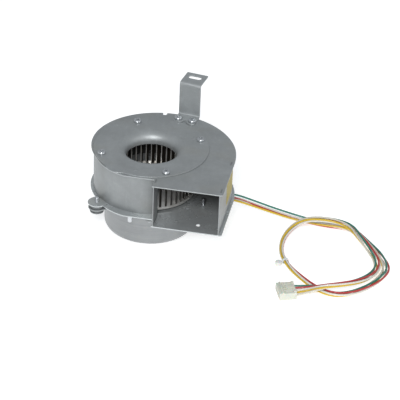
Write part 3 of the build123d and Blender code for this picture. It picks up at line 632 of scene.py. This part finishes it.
def connector_shell():
    """The five-way housing: ribbed, with a latch, sockets at the front and wire ways at the back."""
    length, width, height = connector_size
    shell = cuboid((length, width, height), (-length / 2, 0, height / 2), 0.5 * MM)
    cuts = []
    for k in range(-2, 3):
        y = k * way_pitch
        cuts.append(cuboid((length - 3 * MM, 2.2 * MM, 3.6 * MM), (-length / 2 - 2.6 * MM, y, 3.6 * MM)))
        cuts.append(cuboid((3.4 * MM, 2.3 * MM, 3.3 * MM), (-0.6 * MM, y, 3.6 * MM)))
        cuts.append(cuboid((3.2 * MM, 1.5 * MM, 1.4 * MM), (-10.2 * MM, y, height)))
    shell = carved(shell, cuts)
    for k in (-1.5, -0.5, 0.5, 1.5):
        rib_place = (-length * 0.36, k * way_pitch, height + 0.25 * MM)
        join(shell, cuboid((length * 0.62, 0.6 * MM, 0.9 * MM), rib_place, 0.18 * MM, 2))
    join(shell, cuboid((1.5 * MM, width, 1.1 * MM), (-length + 3.2 * MM, 0, height + 0.3 * MM), 0.25 * MM, 2))
    for k in (-1, 1):
        join(shell, cuboid((2.4 * MM, 2.0 * MM, 1.9 * MM), (-1.3 * MM, k * 2 * way_pitch, height + 0.5 * MM),
                           0.3 * MM, 2))
    join(shell, cuboid((6.6 * MM, 4.4 * MM, 0.8 * MM), (-5.4 * MM, 0, height + 1.1 * MM), 0.25 * MM, 2))
    join(shell, cuboid((1.4 * MM, 4.4 * MM, 1.3 * MM), (-2.4 * MM, 0, height + 0.5 * MM), 0.25 * MM, 2))
    join(shell, cuboid((1.4 * MM, width + 0.6 * MM, height * 0.5), (-1.1 * MM, 0, height * 0.36), 0.3 * MM, 2))
    lift = Matrix.Translation((connector_back.x, connector_back.y, 0.0))
    bmesh.ops.transform(shell, matrix=lift @ Matrix.Rotation(connector_turn, 4, "Z"), verts=shell.verts)
    return shell


connector = new_piece("connector_shell", connector_shell(), connector_finish, "housing",
                      ("connector_housing",), 40.0)


def bundle_tie():
    """A toothed strap round the bundle, with its round head lying flat beside it."""
    here, after = Vector(harness_route[20]), Vector(harness_route[21])
    middle = here + (after - here) * 0.34
    along = (after - here).normalized()
    side = Vector((0, 0, 1)).cross(along).normalized()
    up = along.cross(side)
    band = lathe(softened([(2.3 * MM, -1.1 * MM), (3.05 * MM, -1.1 * MM), (3.05 * MM, 1.1 * MM),
                           (2.3 * MM, 1.1 * MM), (2.3 * MM, -1.1 * MM)], 0.3 * MM), 36)
    frame_of_band = Matrix((side, up, along)).transposed().to_4x4()
    tie = bmesh.new()
    join(tie, band, Matrix.Translation(middle) @ frame_of_band)
    for k in range(5):
        tooth = cuboid((0.35 * MM, 0.3 * MM, 1.5 * MM), (0, 3.05 * MM, 0), 0.08 * MM, 1)
        turned = Matrix.Rotation(radians(-30 + 15 * k), 4, "Z")
        join(tie, tooth, Matrix.Translation(middle) @ frame_of_band @ turned)
    head_place = middle + side * 6.1 * MM - up * 1.1 * MM
    flat = Matrix.Translation(head_place) @ Matrix((along, side, up)).transposed().to_4x4()
    head = lathe(softened([(0, -2.0 * MM), (2.6 * MM, -2.0 * MM), (3.1 * MM, -1.2 * MM), (3.1 * MM, 1.2 * MM),
                           (2.6 * MM, 2.0 * MM), (0, 1.9 * MM)], 0.7 * MM), 40)
    join(tie, head, flat)
    join(tie, cuboid((2.2 * MM, 3.0 * MM, 1.6 * MM), (0, -2.6 * MM, 0.9 * MM), 0.3 * MM, 2), flat)
    join(tie, cuboid((0.9 * MM, 3.2 * MM, 0.5 * MM), (0, 0.4 * MM, 2.0 * MM), 0.15 * MM, 1), flat)
    return tie


tie = new_piece("bundle_tie", bundle_tie(), tie_finish, "housing", ("cable_tie",), 40.0)


# ---------------------------------------------------------------- sheet parts
top_cover = rounded_copy("top_plate", "top_cover_sheet", top_sheet, 0.16 * MM)
rounded_copy("inlet_plate", "bell_mouth_sheet", inlet_sheet, 0.18 * MM)
rounded_copy("base_plate", "base_sheet_painted_sheen", base_sheet_painted_sheen, 0.16 * MM)
scroll = rounded_copy("scroll_wall", "scroll_wall_sheet", wall_sheet_painted_shade, 0.12 * MM)
rounded_copy("mounting_bracket", "bracket_sheet", bracket_sheet, 0.2 * MM)
rounded_copy("motor_plate", "motor_flange_sheet", hidden_parts_painted_shade, 0.16 * MM)
rounded_copy("motor_can", "motor_can_shell", can_finish, 0.14 * MM)

# the inner faces painted near-black as shade for the duct's dark interior: the cover's underside behind its
# front edge, and the scroll behind the outlet
cover_painted_shade_front = -60 * MM
scroll_painted_shade_front = -36 * MM
finish_faces_by_test(top_cover, interior_painted_shade, lambda centre, normal: normal.z < -0.5 and centre.y > cover_painted_shade_front)
finish_faces_by_test(scroll, interior_painted_shade, lambda centre, normal: (
    normal.x * centre.x + normal.y * centre.y < 0 and centre.y > scroll_painted_shade_front and abs(normal.z) < 0.5))


# ---------------------------------------------------------------- screws
def threaded(radius, low, high, pitch):
    """A shank's outline with thread crests, from its low end up to its head."""
    outline = [(0.0, low), (radius - pitch * 0.7, low), (radius - pitch * 0.55, low + 0.15 * MM)]
    turns = int((high - low - 0.6 * MM) / pitch)
    for k in range(turns):
        z = low + 0.3 * MM + k * pitch
        outline += [(radius - pitch * 0.55, z), (radius, z + pitch * 0.5)]
    return outline + [(radius - pitch * 0.55, high)]


def pan_head(head_radius, head_height, shank_radius, length, pitch):
    """A pan-head screw with a cross recess, its seat at z = 0 and its shank pointing down."""
    crown = softened([(shank_radius * 0.8, 0.0), (head_radius, 0.0), (head_radius, head_height * 0.55),
                      (head_radius * 0.80, head_height * 0.90), (head_radius * 0.4, head_height),
                      (0.0, head_height)], head_height * 0.22)
    screw = lathe(threaded(shank_radius, -length, 0.0, pitch)[:-1] + crown, 36)
    arms = []
    for turn in (0.0, pi / 2):
        arm = cuboid((head_radius * 1.16, head_radius * 0.28, head_height), (0, 0, head_height))
        for corner in arm.verts:
            if corner.co.z < head_height:
                corner.co.x *= 0.5
                corner.co.y *= 0.6
        bmesh.ops.rotate(arm, cent=(0, 0, 0), matrix=Matrix.Rotation(turn, 3, "Z"), verts=arm.verts)
        arms.append(arm)
    return carved(screw, arms)


def screws(name, replaced, places, size, flip=False):
    """A set of equal screws, each turned to its own angle."""
    group = bmesh.new()
    for x, y, z, turn in places:
        matrix = Matrix.Translation((x, y, z)) @ Matrix.Rotation(radians(turn), 4, "Z")
        if flip:
            matrix = matrix @ Matrix.Rotation(pi, 4, "X")
        join(group, pan_head(*size), matrix)
    bmesh.ops.recalc_face_normals(group, faces=group.faces)
    return new_piece(name, group, screw_finish, "housing", (replaced,), 38.0)


def on_circle(radius, angle):
    return radius * cos(radians(angle)), radius * sin(radians(angle))


# head radius, head height, shank radius, shank length, pitch
m4_size = (3.5 * MM, m4_head_height, 1.9 * MM, 6.0 * MM, 0.7 * MM)
inlet_places = [(*on_circle(inlet_screw_circle, inlet_screw_phase + 90 * k), plate_top, 20 + 37 * k)
                for k in range(4)]
screws("inlet_plate_screws", "inlet_screws", inlet_places, m4_size)


def node_islands(node):
    """Centres and heights of the separate solids of a CAD node, as (centre, low z, high z)."""
    form = bmesh.new()
    form.from_mesh(nodes[node].data)
    bmesh.ops.remove_doubles(form, verts=form.verts, dist=2e-6)
    unseen = set(form.verts)
    found = []
    while unseen:
        island, edge = set(), [unseen.pop()]
        while edge:
            corner = edge.pop()
            island.add(corner)
            for link in corner.link_edges:
                other = link.other_vert(corner)
                if other in unseen:
                    unseen.discard(other)
                    edge.append(other)
        spots = [corner.co for corner in island]
        low = Vector([min(spot[k] for spot in spots) for k in range(3)])
        high = Vector([max(spot[k] for spot in spots) for k in range(3)])
        found.append(((low + high) / 2, low.z, high.z))
    form.free()
    return sorted(found, key=lambda solid: tuple(solid[0]))


bracket_places = [(centre.x, centre.y, bracket_top, 10 + 55 * k)
                  for k, (centre, low, high) in enumerate(node_islands("bracket_screws"))]
screws("bracket_fixing_screws", "bracket_screws", bracket_places, m4_size)
motor_solids = node_islands("motor_screws")
motor_head_seat = motor_solids[0][1] + m4_head_height
motor_size = (3.5 * MM, m4_head_height, 1.9 * MM, motor_solids[0][2] - motor_head_seat, 0.7 * MM)
motor_places = [(centre.x, centre.y, motor_head_seat, 30 * k)
                for k, (centre, low, high) in enumerate(motor_solids)]
screws("motor_fixing_screws", "motor_screws", motor_places, motor_size, flip=True)
can_solids = node_islands("can_screws")
can_head_height = 1.9 * MM
can_shank = can_solids[0][2] - can_solids[0][1] - can_head_height
can_size = (2.7 * MM, can_head_height, 1.45 * MM, can_shank, 0.5 * MM)
can_places = [(centre.x, centre.y, low + can_head_height, 25 * k)
              for k, (centre, low, high) in enumerate(can_solids)]
screws("can_fixing_screws", "can_screws", can_places, can_size, flip=True)


# ---------------------------------------------------------------- rubber isolators
def isolators():
    """Three rubber bushes, each with a groove for the motor flange and a bulge either side of it."""
    group = bmesh.new()
    plate = can_rim
    for centre, low, high in node_islands("isolator_grommets"):
        outline = softened([
            (3.05 * MM, low), (5.3 * MM, low), (5.98 * MM, low + 0.9 * MM), (5.98 * MM, plate - 0.05 * MM),
            (4.3 * MM, plate - 0.02 * MM), (4.3 * MM, plate + 1.22 * MM), (5.98 * MM, plate + 1.25 * MM),
            (5.98 * MM, high - 0.9 * MM), (5.3 * MM, high), (3.05 * MM, high)], 0.5 * MM)
        bush = lathe(outline, 40, closed=True)
        join(group, bush, Matrix.Translation((centre.x, centre.y, 0.0)))
    bmesh.ops.recalc_face_normals(group, faces=group.faces)
    return group


new_piece("rubber_isolators", isolators(), rubber_finish, "housing",
          ("isolator_grommets",), 50.0)


# ---------------------------------------------------------------- finishes on the other CAD nodes
finishes = {
    paper_finish: ["side_label"],
    screw_finish: ["base_stud", "bearing_shields", "board_screws", "spring_washer", "retaining_clip"],
    rubber_finish: ["cable_grommet"],
    blade_finish: ["wheel_blades"],
    strip_finish: ["wheel_front_ring", "wheel_back_plate"],
    hub_finish: ["wheel_hub", "bearing_tube", "rotor_boss"],
    steel_finish: ["shaft", "lower_bearing_outer", "upper_bearing_outer", "lower_bearing_inner",
                   "upper_bearing_inner", "lower_bearing_balls", "upper_bearing_balls"],
    hidden_parts_painted_shade: ["rotor_cup", "hub_rivets", "isolator_sleeves", "motor_washers"],
    ferrite_finish: ["rotor_magnet"],
    iron_finish: ["stator_core", "hub_set_screw"],
    nylon_finish: ["stator_insulators", "board_spacers"],
    copper_finish: ["stator_coils"],
    board_finish: ["circuit_board"],
    chip_finish: ["driver_chip", "smoothing_capacitor", "hall_sensors"],
    tin_finish: ["connector_terminals"],
}
for finish, names in finishes.items():
    for node in names:
        refinish(node, finish)


# ---------------------------------------------------------------- floor and light
def studio():
    floor_form = bmesh.new()
    bmesh.ops.create_grid(floor_form, x_segments=1, y_segments=1, size=3.0)
    mesh = bpy.data.meshes.new("floor")
    floor_form.to_mesh(mesh)
    floor_form.free()
    floor = bpy.data.objects.new("floor", mesh)
    white = Finish("studio_floor", (0.90, 0.90, 0.90), 0.8)
    white.feed(white.shader.inputs["Emission Color"], (1.0, 1.0, 1.0))
    white.shader.inputs["Emission Strength"].default_value = 0.52
    mesh.materials.append(white.material)
    scene.collection.objects.link(floor)
    floor.location.z = -0.0002
    world = bpy.data.worlds.new("studio_air")
    world.use_nodes = True
    world.node_tree.nodes["Background"].inputs["Color"].default_value = (0.92, 0.96, 1.0, 1.0)
    world.node_tree.nodes["Background"].inputs["Strength"].default_value = 0.44
    scene.world = world
    scene.view_settings.view_transform = "Standard"
    lamp("key_light", 3.0, 38.0, 1.6, 0.45, 14.0)
    lamp("right_fill", 70.0, 30.0, 1.2, 0.7, 1.6)


def lamp(name, azimuth, elevation, distance, size, power):
    """A square soft light that looks at the blower from a camera-style azimuth and elevation."""
    a, e = radians(azimuth), radians(elevation)
    back = Vector((sin(a) * cos(e), -cos(a) * cos(e), sin(e)))
    data = bpy.data.lights.new(name, "AREA")
    data.size = size
    data.energy = power
    light = bpy.data.objects.new(name, data)
    light.location = Vector((0.05, 0.0, 0.04)) + back * distance
    light.rotation_euler = back.to_track_quat("Z", "Y").to_euler()
    scene.collection.objects.link(light)


studio()
